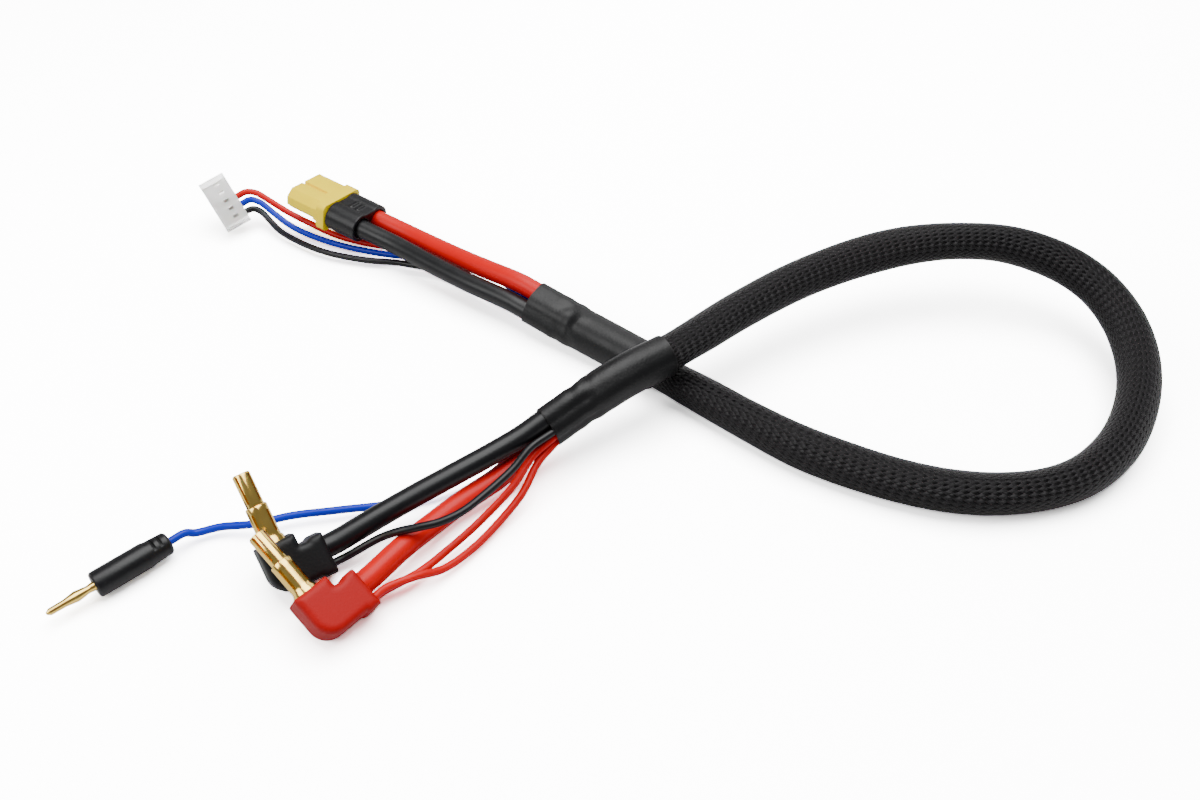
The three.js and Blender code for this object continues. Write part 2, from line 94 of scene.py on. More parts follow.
# %% Helpers for nodes
def add_node(tree, kind, settings=None, **inputs):
    """A new node; inputs are values or sockets to link from, by name, or by number as i0, i1 and so on."""
    node = tree.nodes.new(kind)
    for key, value in (settings or {}).items():
        setattr(node, key, value)
    for key, value in inputs.items():
        name = key.replace("_", " ")
        socket = node.inputs[int(key[1:])] if key[1:].isdigit() and key[0] == "i" else node.inputs[name]
        if isinstance(value, bpy.types.NodeSocket):
            tree.links.new(value, socket)
        else:
            socket.default_value = value
    return node


def maths(tree, operation, first, second=0.0, clamp=False):
    settings = {"operation": operation, "use_clamp": clamp}
    return add_node(tree, "ShaderNodeMath", settings, i0=first, i1=second).outputs[0]


def new_group(name, inputs, outputs):
    """An empty node group: inputs are (name, kind, default) and outputs are (name, kind)."""
    tree = bpy.data.node_groups.new(name, "ShaderNodeTree")
    for label, kind, default in inputs:
        socket = tree.interface.new_socket(label, in_out="INPUT", socket_type="NodeSocket" + kind)
        if default is not None:
            socket.default_value = default
    for label, kind in outputs:
        tree.interface.new_socket(label, in_out="OUTPUT", socket_type="NodeSocket" + kind)
    return tree, tree.nodes.new("NodeGroupInput"), tree.nodes.new("NodeGroupOutput")


# %% [markdown]
# The first group is the plain surface of plastic, rubber and silicone. Large soft noise moves the colour
# between a darker and a lighter tone, fine noise gives the grain as a bump, and dust is a pale veil in
# small patches, as any handled rubber has.

# %% Surface group
surface, given, result = new_group("moulded surface", [
    ("Vector", "Vector", None), ("Colour", "Color", (0.5, 0.5, 0.5, 1)), ("Tone change", "Float", 0.1),
    ("Patch size", "Float", 400.0), ("Grain size", "Float", 4000.0), ("Grain depth", "Float", 0.1),
    ("Roughness", "Float", 0.4), ("Gloss change", "Float", 0.1), ("Dust", "Float", 0.05),
], [("Colour", "Color"), ("Roughness", "Float"), ("Normal", "Vector")])
patches = add_node(surface, "ShaderNodeTexNoise", Vector=given.outputs["Vector"],
                   Scale=given.outputs["Patch size"], Detail=4.0).outputs["Fac"]
grain = add_node(surface, "ShaderNodeTexNoise", Vector=given.outputs["Vector"],
                 Scale=given.outputs["Grain size"], Detail=3.0).outputs["Fac"]
swing = maths(surface, "MULTIPLY", maths(surface, "SUBTRACT", patches, 0.5), given.outputs["Tone change"])
brightness = maths(surface, "ADD", maths(surface, "MULTIPLY", swing, 2.0), 1.0)
toned = add_node(surface, "ShaderNodeVectorMath", {"operation": "SCALE"}, i0=given.outputs["Colour"],
                 Scale=brightness)
specks = add_node(surface, "ShaderNodeMapRange", Value=grain, i1=0.6, i2=0.72).outputs["Result"]
veil = maths(surface, "MULTIPLY", maths(surface, "MULTIPLY", specks, patches), given.outputs["Dust"],
             clamp=True)
dusted = add_node(surface, "ShaderNodeMix", {"data_type": "RGBA"}, i0=veil, i6=toned.outputs[0],
                  i7=(0.55, 0.53, 0.5, 1))
gloss = maths(surface, "MULTIPLY", maths(surface, "SUBTRACT", patches, 0.5), given.outputs["Gloss change"])
rough = maths(surface, "ADD", given.outputs["Roughness"],
              maths(surface, "ADD", maths(surface, "MULTIPLY", gloss, 2.0),
                    maths(surface, "MULTIPLY", veil, 0.3)), clamp=True)
bump = add_node(surface, "ShaderNodeBump", Height=grain, Strength=given.outputs["Grain depth"],
                Distance=0.0002)
surface.links.new(dusted.outputs[2], result.inputs["Colour"])
surface.links.new(rough, result.inputs["Roughness"])
surface.links.new(bump.outputs["Normal"], result.inputs["Normal"])

# %% [markdown]
# Each finish is one material around that group. Values that are the same all over a piece, such as how much
# it shines or how milky it is, go straight on the shader, because a value that comes through nodes may be
# lost when the model is exported. The blacks are very dark, since a black rubber looks grey only by what it
# reflects, and they shine little.


# %% Finish from the surface group
def finish(name, colour, roughness, tone=0.12, patch=250.0, grain=3000.0, depth=0.12, gloss_change=0.08,
           dust=0.04, metallic=0.0, **shader_values):
    """A material of the surface group; further values go on the shader's own sockets."""
    material = bpy.data.materials.new(name)
    material.use_nodes = True
    tree = material.node_tree
    shader = tree.nodes["Principled BSDF"]
    where = tree.nodes.new("ShaderNodeTexCoord").outputs["Object"]
    look = add_node(tree, "ShaderNodeGroup", {"node_tree": surface}, Vector=where,
                    Colour=(*colour, 1), Tone_change=tone, Patch_size=patch, Grain_size=grain,
                    Grain_depth=depth, Roughness=roughness, Gloss_change=gloss_change, Dust=dust)
    tree.links.new(look.outputs["Colour"], shader.inputs["Base Color"])
    tree.links.new(look.outputs["Roughness"], shader.inputs["Roughness"])
    tree.links.new(look.outputs["Normal"], shader.inputs["Normal"])
    shader.inputs["Metallic"].default_value = metallic
    for key, value in shader_values.items():
        shader.inputs[key.replace("_", " ")].default_value = value
    return material


red_silicone = finish("red silicone", (0.62, 0.001, 0.001), 0.36, patch=180, tone=0.06, depth=0.06,
                      dust=0.01, Specular_IOR_Level=0.22)
black_silicone = finish("black silicone", (0.004, 0.004, 0.005), 0.34, patch=180, depth=0.08, dust=0.015,
                        Specular_IOR_Level=0.35)
blue_silicone = finish("blue silicone", (0.001, 0.016, 0.48), 0.34, patch=180, tone=0.06, depth=0.06,
                       dust=0.01, Specular_IOR_Level=0.25)
yellow_nylon = finish("yellow nylon", (1.0, 0.74, 0.0), 0.4, tone=0.05, depth=0.1, dust=0.0,
                      Specular_IOR_Level=0.25, Subsurface_Weight=0.05, Subsurface_Scale=0.001)
black_nylon = finish("black nylon", (0.004, 0.004, 0.005), 0.36, depth=0.12, dust=0.015,
                     Specular_IOR_Level=0.35)
white_nylon = finish("white nylon", (0.97, 0.96, 0.93), 0.38, tone=0.03, depth=0.06, dust=0.0,
                     Subsurface_Weight=0.25, Subsurface_Scale=0.0015, Alpha=0.6)
red_boot = finish("soft red moulding", (0.38, 0.0005, 0.001), 0.48, patch=160, grain=2600, tone=0.06,
                  depth=0.16, dust=0.01, Specular_IOR_Level=0.2)
black_boot = finish("soft black moulding", (0.004, 0.004, 0.005), 0.48, patch=160, grain=2600, depth=0.2,
                    dust=0.02, Specular_IOR_Level=0.3)
tube_shrink = finish("heat shrink", (0.004, 0.004, 0.0045), 0.4, patch=220, grain=1800, depth=0.3,
                     gloss_change=0.14, dust=0.015, Specular_IOR_Level=0.3)
gold_plate = finish("gold plate", (1.0, 0.68, 0.17), 0.16, tone=0.1, patch=350, grain=5000, depth=0.05,
                    gloss_change=0.1, dust=0.0, metallic=1.0)
tinned_copper = finish("tinned copper", (0.66, 0.64, 0.6), 0.38, metallic=1.0, dust=0.0)

# %% [markdown]
# ## Cables as tubes
# A cable follows a few chosen points on a smooth curve. A curve object with a bevel would do for a plain
# wire, but the sleeve needs a pattern that runs round and along it, and the heat shrinks need a section
# that changes. So one helper makes every tube: it sets circles along the curve, moves their points to the
# wanted radius, bridges them, and stores the way round and the way along as a UV map.


# %% Curve through points
def smooth_route(points, step=0.0008):
    """A centripetal curve through points in mm, as points in metres that are `step` apart."""
    knots = [place(p) for p in points]
    knots = [2 * knots[0] - knots[1], *knots, 2 * knots[-1] - knots[-2]]
    line = []
    for a, b, c, d in zip(knots, knots[1:], knots[2:], knots[3:]):
        ab, bc, cd = (math.sqrt((q - p).length) for p, q in ((a, b), (b, c), (c, d)))
        leave = ((b - a) / ab - (c - a) / (ab + bc) + (c - b) / bc) * bc
        arrive = ((c - b) / bc - (d - b) / (bc + cd) + (d - c) / cd) * bc
        for t in (k / 24 for k in range(24)):
            line.append(b + leave * t + (3 * (c - b) - 2 * leave - arrive) * t ** 2
                        + (2 * (b - c) + leave + arrive) * t ** 3)
    line.append(knots[-2])
    return evenly(line, step)


def evenly(line, step):
    """The same line with points at equal distances."""
    lengths = [0.0]
    for a, b in zip(line, line[1:]):
        lengths.append(lengths[-1] + (b - a).length)
    count = max(3, round(lengths[-1] / step))
    points, at = [], 0
    for k in range(count + 1):
        want = lengths[-1] * k / count
        while at < len(line) - 2 and lengths[at + 1] < want:
            at += 1
        share = (want - lengths[at]) / (lengths[at + 1] - lengths[at])
        points.append(line[at].lerp(line[at + 1], share))
    return points


def line_length(line):
    return sum((b - a).length for a, b in zip(line, line[1:]))


def section_axes(line, k):
    """Directions across and up at point k of a line that never stands upright."""
    along = (line[min(k + 1, len(line) - 1)] - line[max(k - 1, 0)]).normalized()
    across = along.cross(Vector((0, 0, 1))).normalized()
    return across, across.cross(along), along

# %% [markdown]
# The tube helper works on such a line. It needs a direction across and up at every point, and no cable here
# ever stands upright, so those come from the vertical. Open ends get a rim and a sunk floor.


# %% Tube helper
def new_piece(name, bm, material, body="lead"):
    mesh = bpy.data.meshes.new(name)
    bm.to_mesh(mesh)
    bm.free()
    mesh.materials.append(material)
    piece = bpy.data.objects.new(name, mesh)
    bpy.context.scene.collection.objects.link(piece)
    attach(piece, body)
    return piece


def tube(name, line, reach, material, sides=24, mouths=(0.0, 0.0), wall=0.0005):
    """A closed tube; reach(distance, angle) is its radius, and mouths are the depths of its open ends."""
    bm = bmesh.new()
    along_layer = bm.verts.layers.float.new("along")
    round_layer = bm.verts.layers.float.new("round")
    rings, run = [], 0.0
    for k, centre in enumerate(line):
        run += (centre - line[k - 1]).length if k else 0.0
        across, up, _ = section_axes(line, k)
        ring = bmesh.ops.create_circle(bm, segments=sides, radius=1)["verts"]
        for vert in ring:
            angle = math.atan2(vert.co.y, vert.co.x)
            vert[along_layer], vert[round_layer] = run, (angle / math.tau) % 1
            vert.co = centre + (across * math.cos(angle) + up * math.sin(angle)) * reach(run, angle)
        rings.append(list({edge for vert in ring for edge in vert.link_edges}))
    for near, far in zip(rings, rings[1:]):
        bmesh.ops.bridge_loops(bm, edges=near + far)
    for face in bm.faces:
        face.smooth = True
    for ring, end, depth in ((rings[0], 0, mouths[0]), (rings[-1], len(line) - 1, mouths[1])):
        cap = bmesh.ops.holes_fill(bm, edges=ring, sides=0)["faces"]
        for edge in ring:
            edge.smooth = False
        if depth:
            inward = section_axes(line, end)[2] * (depth if end == 0 else -depth)
            bmesh.ops.inset_region(bm, faces=cap, thickness=wall, use_even_offset=True)
            sunk = bmesh.ops.extrude_face_region(bm, geom=cap)["geom"]
            bmesh.ops.delete(bm, geom=cap, context="FACES_ONLY")
            bmesh.ops.translate(bm, vec=inward, verts=[v for v in sunk if isinstance(v, bmesh.types.BMVert)])
    bmesh.ops.recalc_face_normals(bm, faces=bm.faces)
    uv = bm.loops.layers.uv.new("along and round")
    for face in bm.faces:
        turns = [loop.vert[round_layer] for loop in face.loops]
        crosses = max(turns) - min(turns) > 0.5
        for loop, turn in zip(face.loops, turns):
            loop[uv].uv = (turn + (crosses and turn < 0.5), loop.vert[along_layer] * 1000)
    return new_piece(name, bm, material)


# %% [markdown]
# ## The wires
# Two thick silicone-covered wires carry the charge, and thin ones watch each cell. Each is a plain round
# tube in its own colour. Every wire is a free cord that leaves one solid piece and ends in another; its
# thickness is set, and its length comes from its route.

# %% Routes of the wires
POWER_WIRE, SENSE_WIRE = 5.2 * MM, 1.8 * MM
wires = {
    "power_wire_red": [(-66.3, 68.1, 8.2), (-63.7, 66.6, 7.8), (-53.5, 60.4, 6.7), (-41.8, 50.6, 7.8),
        (-32.4, 42.3, 9.4), (-21.3, 33.9, 10.5), (-16.4, 30.5, 9.9)],
    "power_wire_black": [(-69.8, 62, 9.3), (-67.3, 60.4, 9), (-57.1, 54.3, 7.8), (-46.3, 46.1, 7.4),
        (-35.6, 38, 7.4), (-24.2, 30.3, 7.3), (-19.3, 26.9, 6.7)],
    "charger_sense_red": [(-107, 75.5, 8.9), (-106, 76.1, 9.2), (-103.5, 77.4, 9.9), (-100.6, 77.4, 9.5),
        (-96.8, 76.2, 7.6), (-92, 74.6, 5), (-85.2, 71.6, 3), (-75.4, 66, 2.2), (-61.6, 61.3, 2),
        (-49.9, 59.2, 2.4), (-38.5, 54.8, 3.8), (-32, 50.4, 5), (-26, 43.4, 6.4), (-20.8, 35.6, 7.1),
        (-15.9, 31.7, 6.5)],
    "charger_sense_blue": [(-105.8, 74.3, 7.1), (-104.8, 74.9, 7.4), (-102.3, 76.1, 8.1),
        (-99.4, 75.4, 7.5), (-95.6, 73.4, 5.3), (-91, 70.6, 3.2), (-85.4, 67.4, 2.2), (-74.8, 62.1, 2),
        (-61.3, 57.8, 2), (-49.6, 55.4, 2.3), (-38.5, 50.6, 3.2), (-31, 46, 4.4), (-25, 38.6, 5.8),
        (-21.8, 34.2, 6), (-16.9, 30.5, 5.4)],
    "charger_sense_black": [(-104.6, 73.1, 5.3), (-103.6, 73.7, 5.6), (-101.5, 74.6, 5.9),
        (-99.2, 74.1, 5.1), (-96.8, 72, 3.8), (-93.4, 68.5, 2.6), (-87.9, 64.2, 2.2),
        (-78.4, 58.5, 2.2), (-66.6, 55, 2),
        (-56.5, 53.6, 2), (-46, 50, 2.2), (-37, 44.4, 2.8), (-29, 37.6, 3.8), (-22.8, 32.9, 4.6),
        (-17.9, 29.3, 4.2)],
    "pack_wire_black": [(-13.2, -20.9, 13.4), (-18, -24.3, 11.9), (-24, -28.3, 10.8), (-32, -33.6, 9.8),
        (-40.2, -38.9, 8.7), (-48.6, -44.6, 7.5), (-56.4, -50.1, 6.3), (-58.6, -51.7, 6.3),
        (-61.5, -53.7, 6.3)],
    "pack_wire_red": [(-12, -20.1, 8), (-16.8, -23.8, 6.2), (-22.9, -30.4, 5), (-31.2, -37.9, 4.6),
        (-37.3, -44.8, 4.8), (-42.2, -51.6, 6), (-48, -59.3, 5.8), (-49.8, -61.5, 5.8),
        (-52, -64.2, 5.8)],
    "pack_sense_red_first": [(-10.6, -23.4, 10.7), (-15.2, -27.4, 8.8), (-19.4, -34.4, 6.6),
        (-26.5, -42.3, 3.6), (-32.6, -49, 2.6), (-38.4, -55.6, 2.8), (-45.9, -61.1, 2.7),
        (-47.7, -63.2, 2.7), (-50, -65.9, 2.7)],
    "pack_sense_red_second": [(-10.2, -23.1, 8.7), (-14.2, -27.6, 6.7), (-17.6, -35, 4.4),
        (-22.6, -41.8, 2.4), (-27.8, -48.6, 1.8), (-33.6, -54.8, 2.6), (-39, -58.5, 4.8),
        (-44.9, -61.9, 5.1), (-46.7, -64.1, 5.1), (-48.9, -66.8, 5.1)],
    "pack_sense_black": [(-11, -23.8, 12.6), (-15.6, -27.6, 11.8), (-19.5, -34.5, 11.8),
        (-25.2, -41.7, 11.6), (-29.6, -46.3, 11.4), (-34.1, -48.7, 10.9), (-38.3, -49.7, 10.5),
        (-42.6, -49.9, 9.4), (-47.3, -49.7, 6.8), (-54.8, -52.3, 3.5), (-57.1, -53.9, 3.5),
        (-59.9, -55.9, 3.5)],
    "pack_sense_blue": [(-14.5, -17.8, 10.7), (-19.2, -21.4, 8.8), (-29.9, -28, 4), (-38.7, -33, 2.4),
        (-46.4, -35.7, 2), (-58.4, -38.2, 2.6), (-69.1, -40.3, 3), (-76.4, -42.6, 3), (-84.2, -43, 2.4),
        (-89.3, -44.7, 2.4), (-91, -45.6, 3.5), (-93.8, -48.2, 3.6), (-99.6, -53.7, 3.6)],
}
wire_finish = {"red": red_silicone, "black": black_silicone, "blue": blue_silicone}

# %% [markdown]
# A wire's tube follows its route point by point, and its colour comes from its name. It starts or ends 3 mm
# inside the heat shrink, so that no gap shows at the mouth. The length printed for each wire is that of its
# line.


# %% Wires
def inside_shrink(name, line):
    """The line, carried 3 mm straight into the heat shrink that holds it."""
    at_start = name.startswith("pack")
    end, before = (line[0], line[2]) if at_start else (line[-1], line[-3])
    beyond = end + (end - before).normalized() * 3 * MM
    return [beyond, *line] if at_start else [*line, beyond]


for name, points in wires.items():
    colour = next(c for c in ("red", "black", "blue") if c in name)
    width = SENSE_WIRE if "sense" in name else POWER_WIRE
    line = inside_shrink(name, smooth_route(points))
    wire = tube(name + "_cover", line, lambda run, angle: width / 2, wire_finish[colour],
                sides=16 if width == SENSE_WIRE else 32)
    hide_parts(name)
    print(name, "is", round(line_length(line) * 1000), "mm long")

# %% [markdown]
# ## The braided sleeve
# Fine plastic threads are braided round the bundle in two directions, each crossing over and under the
# other. Real threads would be millions of triangles, so the tube stays smooth and its pattern is computed
# from the UV map: two sets of slanting ribbons, a checker that says which one lies on top, and fine lines
# that split each ribbon into its threads. In the gaps the red and blue wires below glimmer through, in a
# painted colour kept very dark as painted shade under the braid.

# %% Braid group
braid, given, result = new_group("braid", [
    ("UV", "Vector", None), ("Ribbons round", "Float", 26.0), ("Rise mm", "Float", 2.2),
    ("Threads", "Float", 4.0),
], [("Height", "Float"), ("Gap", "Float"), ("Thread", "Float")])
uv_parts = add_node(braid, "ShaderNodeSeparateXYZ", Vector=given.outputs["UV"])
turns = maths(braid, "MULTIPLY", uv_parts.outputs["X"], given.outputs["Ribbons round"])
rises = maths(braid, "DIVIDE", uv_parts.outputs["Y"], given.outputs["Rise mm"])
families = [maths(braid, "ADD", turns, rises), maths(braid, "SUBTRACT", turns, rises)]
waves = [maths(braid, "SINE", maths(braid, "MULTIPLY", family, math.pi)) for family in families]
over = maths(braid, "MULTIPLY", waves[0], waves[1])
humps = []
for family, sign in zip(families, (1, -1)):
    across = maths(braid, "ABSOLUTE", maths(braid, "MULTIPLY", maths(braid, "SUBTRACT", maths(
        braid, "FRACT", family), 0.5), 2.0))
    hump = maths(braid, "SQRT", maths(braid, "SUBTRACT", 1.0, maths(braid, "POWER", across, 3.0),
                                      clamp=True))
    threads = maths(braid, "ABSOLUTE", maths(braid, "SINE", maths(
        braid, "MULTIPLY", maths(braid, "MULTIPLY", family, math.pi), given.outputs["Threads"])))
    lift = maths(braid, "ADD", 0.6, maths(braid, "MULTIPLY", over, 0.4 * sign))
    humps.append(maths(braid, "MULTIPLY", maths(braid, "MULTIPLY", hump, lift),
                       maths(braid, "ADD", 0.8, maths(braid, "MULTIPLY", threads, 0.2))))
height = maths(braid, "MAXIMUM", humps[0], humps[1])
gap_mask = add_node(braid, "ShaderNodeMapRange", Value=height, i1=0.34, i2=0.12).outputs["Result"]
braid.links.new(height, result.inputs["Height"])
braid.links.new(gap_mask, result.inputs["Gap"])
braid.links.new(maths(braid, "GREATER_THAN", humps[0], humps[1]), result.inputs["Thread"])

# %% [markdown]
# The braid's material puts the group to work. One family of ribbons is painted a little lighter than the
# other, a painted sheen for the way they catch the light at different slants, and the gaps take a colour
# that drifts from red to blue as the wires below turn, painted very dark as painted shade under the braid.
# The height becomes a bump, and the gaps are rougher than the threads.

# %% Braid material
braid_finish = bpy.data.materials.new("braided threads")
braid_finish.use_nodes = True
tree = braid_finish.node_tree
shader = tree.nodes["Principled BSDF"]
uv_map = add_node(tree, "ShaderNodeUVMap", {"uv_map": "along and round"}).outputs["UV"]
weave = add_node(tree, "ShaderNodeGroup", {"node_tree": braid}, UV=uv_map, Ribbons_round=26.0, Rise_mm=2.2,
                 Threads=4.0)
where = tree.nodes.new("ShaderNodeTexCoord").outputs["Object"]
# Gap colour: the red and blue of the wires under the braid are real, but they are kept very dark as painted
# shade under the threads.
drift = add_node(tree, "ShaderNodeTexNoise", Vector=where, Scale=90.0, Detail=2.0).outputs["Fac"]
below = add_node(tree, "ShaderNodeValToRGB", Fac=drift)
ramp = below.color_ramp.elements
ramp[0].position, ramp[0].color = 0.4, (0.003, 0.004, 0.02, 1)
ramp[1].position, ramp[1].color = 0.6, (0.07, 0.004, 0.003, 1)
ramp.new(0.5).color = (0.003, 0.003, 0.004, 1)
# Painted sheen: the ribbons of one family are painted lighter than the other family's, as if they caught
# more light.
threads = add_node(tree, "ShaderNodeMix", {"data_type": "RGBA"}, i0=weave.outputs["Thread"],
                   i6=(0.008, 0.007, 0.008, 1), i7=(0.0015, 0.0012, 0.0015, 1))
mixed = add_node(tree, "ShaderNodeMix", {"data_type": "RGBA"}, i0=weave.outputs["Gap"],
                 i6=threads.outputs[2], i7=below.outputs["Color"])
tree.links.new(mixed.outputs[2], shader.inputs["Base Color"])
rough = maths(tree, "ADD", 0.27, maths(tree, "MULTIPLY", weave.outputs["Gap"], 0.5))
tree.links.new(rough, shader.inputs["Roughness"])
bump = add_node(tree, "ShaderNodeBump", Height=weave.outputs["Height"], Strength=1.0, Distance=0.0004)
tree.links.new(bump.outputs["Normal"], shader.inputs["Normal"])
shader.inputs["Specular IOR Level"].default_value = 0.18

# %% [markdown]
# The sleeve is never quite round: the bundle inside is twisted and presses it oval, and near both ends the
# heat shrink squeezes it. So the tube's radius is a function of the way along and the way round.

# %% Sleeve
SLEEVE = 10 * MM
TWIST_LENGTH = 0.075            # half a turn of the bundle
OVAL, WAVE, WAVE_LENGTH = 0.035, 0.012, 0.006
SQUEEZE, SQUEEZE_LENGTH = 0.13, 0.011
reach_in = 3 * MM               # how far it goes on inside the heat shrinks
sleeve_route = [(14.7, 4.8, 5.3), (24.5, -3.1, 5.1), (35.9, -12.7, 5.1), (46.8, -21, 5.1),
    (57.5, -27, 5.1), (68.2, -31.7, 5.1), (78.8, -34.7, 5.1), (89.9, -35.6, 5.1), (101.6, -33.9, 5.1),
    (110.5, -30.3, 5.5), (119.4, -23.1, 6.2), (125.9, -14.3, 7.2), (130.6, -3.9, 8.8), (132.5, 6.6, 10.8),
    (131.6, 17.5, 13), (127.5, 26.9, 15.2), (119.8, 33.6, 17.5), (107.4, 38.2, 19.6), (94.3, 38.7, 20.5),
    (80.8, 36.9, 20.5), (67.2, 32.7, 19.8), (50.9, 25.2, 18.4), (35.1, 14.8, 17), (24.5, 6, 16.5),
    (16.3, -1, 16.4)]


def sleeve_reach(run, angle):
    """Slightly oval, and the oval turns with the twisted bundle inside."""
    twist = run / TWIST_LENGTH * math.pi
    from_end = min(run, sleeve_length + 2 * reach_in - run) - reach_in
    squeeze = SQUEEZE * math.exp(-(max(0.0, from_end) / SQUEEZE_LENGTH) ** 2)
    oval = OVAL * math.cos(2 * (angle - twist))
    return SLEEVE / 2 * (1 - squeeze + oval + WAVE * math.sin(run / WAVE_LENGTH))


line = smooth_route(sleeve_route, step=0.0015)
sleeve_length = line_length(line)
line = [line[0] - (line[1] - line[0]).normalized() * reach_in, *line,
        line[-1] + (line[-1] - line[-2]).normalized() * reach_in]
sleeve = tube("sleeve_braid", line, sleeve_reach, braid_finish, sides=48)
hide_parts("braided_sleeve")
print("the sleeve shows", round(sleeve_length * 1000), "mm")

# %% [markdown]
# ## The heat shrinks
# At both ends of the braid a length of shrink tube grips the sleeve and, past its end, the bare wires. Hot
# air pulls it tight, so it shows what is inside: a ridge over each thick wire, a valley between them, and a
# step where the braid begins. A plain cylinder can't tell that, so the section is computed from the wires
# that enter: each point of the wall lies on the outermost wire in its direction, plus the wall.

# %% Heat shrink
SHRINK_WALL = 0.5 * MM
OVER_BRAID = 5.25 * MM          # radius where the tube covers the sleeve
LEAST_RADIUS = 3.6 * MM         # the tube bridges any deeper hollow between the wires
BLUR = (-0.24, -0.12, 0.0, 0.12, 0.24)
STEP_AT, STEP_LONG = 0.3, 0.09  # shares of the tube's length
MOUTH_DEPTH, MOUTH_WALL = 2.6 * MM, 0.45 * MM


def shrink_piece(name, node, route, wire_names):
    """A tube from its open mouth, where the wires enter, to the sleeve."""
    line = smooth_route(route, step=0.0006)
    length = line_length(line)
    across, up, _ = section_axes(line, 0)
    inside = []
    for wire_name in wire_names:
        ends = [place(p) for p in (wires[wire_name][0], wires[wire_name][-1])]
        offset = min((end - line[0] for end in ends), key=lambda v: v.length)
        width = SENSE_WIRE if "sense" in wire_name else POWER_WIRE
        inside.append((offset.dot(across), offset.dot(up), width / 2))

    def hug(angle):
        """Distance to the outermost wire in this direction, softened between the wires."""
        best = 0.0
        for turn in BLUR:
            c, s = math.cos(angle + turn), math.sin(angle + turn)
            reach = [max(0.0, x * c + y * s + math.sqrt(max(0.0, r * r - (x * s - y * c) ** 2)))
                     for x, y, r in inside]
            best += max(max(reach), LEAST_RADIUS) / len(BLUR)
        return best + SHRINK_WALL

    mean = sum(hug(k * math.tau / 48) for k in range(48)) / 48

    def reach(run, angle):
        share = run / length
        grown = 0.5 - 0.5 * math.cos(math.pi * min(1.0, max(0.0, (share - STEP_AT) / STEP_LONG)))
        hugging = hug(angle)
        ridge = (hugging - mean) * (0.42 - 0.2 * share)
        crease = 0.12 * MM * math.sin(share * 46 + 2 * math.sin(angle * 2)) * math.exp(
            -((share - STEP_AT) / 0.12) ** 2)
        return hugging * (1 - grown) + (OVER_BRAID + ridge) * grown + crease

    piece = tube(name, line, reach, tube_shrink, sides=72, mouths=(MOUTH_DEPTH, MOUTH_DEPTH),
                 wall=MOUTH_WALL)
    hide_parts(node)
    print(name, "is", round(length * 1000, 1), "mm long")


shrink_piece("charger_shrink", "charger_heat_shrink",
             [(-17.4, 28.4, 8.2), (-8.3, 22.1, 6.9), (2, 14.9, 5.8), (14.2, 5.2, 5.4)],
             ["power_wire_red", "power_wire_black", "charger_sense_red", "charger_sense_blue",
              "charger_sense_black"])
shrink_piece("battery_shrink", "battery_heat_shrink",
             [(-12.2, -20.2, 10.8), (-4.7, -15.1, 13.2), (5.9, -8.2, 15.9), (15.5, -1.7, 16.4)],
             ["pack_wire_black", "pack_wire_red", "pack_sense_red_first", "pack_sense_red_second",
              "pack_sense_black", "pack_sense_blue"])

# %% [markdown]
# ## The moulded and turned pieces
# The CAD solids of the plugs have the right shape but razor-sharp edges, and no real edge is sharp: the
# thin highlight along it is what makes a small part look real. Building each again would risk losing its
# place, so a copy of the solid is cleaned to large flat faces and a narrow bevel rounds its edges.

# %% Helpers for copies
SAME_POINT = 0.002 * MM
CREASE_ANGLE = math.radians(34)


def merged_copy(node):
    """The node's solid, with its loose triangles joined."""
    bm = bmesh.new()
    bm.from_mesh(frame["nodes"][node].data)
    bmesh.ops.remove_doubles(bm, verts=bm.verts, dist=SAME_POINT)
    return bm


def shade_smooth(bm):
    """Smooth shading that still breaks at the sharp edges."""
    for face in bm.faces:
        face.smooth = True
    for edge in bm.edges:
        edge.smooth = not (edge.is_manifold and edge.calc_face_angle(0) > CREASE_ANGLE)


def stands_for(piece, node):
    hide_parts(node)
    print(piece.name, "has", len(piece.data.polygons), "faces")


# %% [markdown]
# The hard plastic and the pin get the narrow bevel. Only edges where two faces meet at a clear angle are
# rounded, so that the facets of a turned piece stay one smooth surface.

# %% Softened copies
def softened(name, node, material, edge, angle=32):
    """A copy whose edges sharper than the angle, in degrees, get a round of the given width."""
    bm = merged_copy(node)
    bmesh.ops.dissolve_limit(bm, angle_limit=math.radians(1), verts=bm.verts, edges=bm.edges)
    sharp = [e for e in bm.edges if e.is_manifold and e.calc_face_angle(0) > math.radians(angle)]
    bmesh.ops.bevel(bm, geom=sharp, offset=edge, segments=3, profile=0.5, affect="EDGES",
                    material=-1, clamp_overlap=True)
    bmesh.ops.remove_doubles(bm, verts=bm.verts, dist=SAME_POINT / 2)
    shade_smooth(bm)
    stands_for(new_piece(name, bm, material), node)


softened("plug_housing", "power_plug_housing", yellow_nylon, 0.18 * MM)
softened("balance_housing", "balance_plug_housing", white_nylon, 0.12 * MM)
softened("pin_body", "pin_plug_body", black_nylon, 0.12 * MM, angle=25)
softened("pin_contact", "pin_plug_contact", gold_plate, 0.06 * MM, angle=25)

# %% [markdown]
# The cover of the big plug and the two angled boots are moulded in soft rubber, and there a bevel isn't
# enough: every edge and every inner corner flows into the next face. A voxel remesh of the merged solid
# followed by a Smooth modifier melts all of them at once, and the holes for the wires stay open.


# %% Soft mouldings
def melted(name, node, material, voxel, passes, body="lead"):
    """A copy remade from small voxels and then smoothed; more passes give larger rounds."""
    piece = new_piece(name, merged_copy(node), material, body)
    skin = piece.modifiers.new("skin", "REMESH")
    skin.mode, skin.voxel_size, skin.use_smooth_shade = "VOXEL", voxel, True
    soft = piece.modifiers.new("soft", "SMOOTH")
    soft.factor, soft.iterations = 0.5, passes
    shape = bpy.data.meshes.new_from_object(piece.evaluated_get(bpy.context.evaluated_depsgraph_get()))
    piece.modifiers.clear()
    piece.data = shape
    stands_for(piece, node)


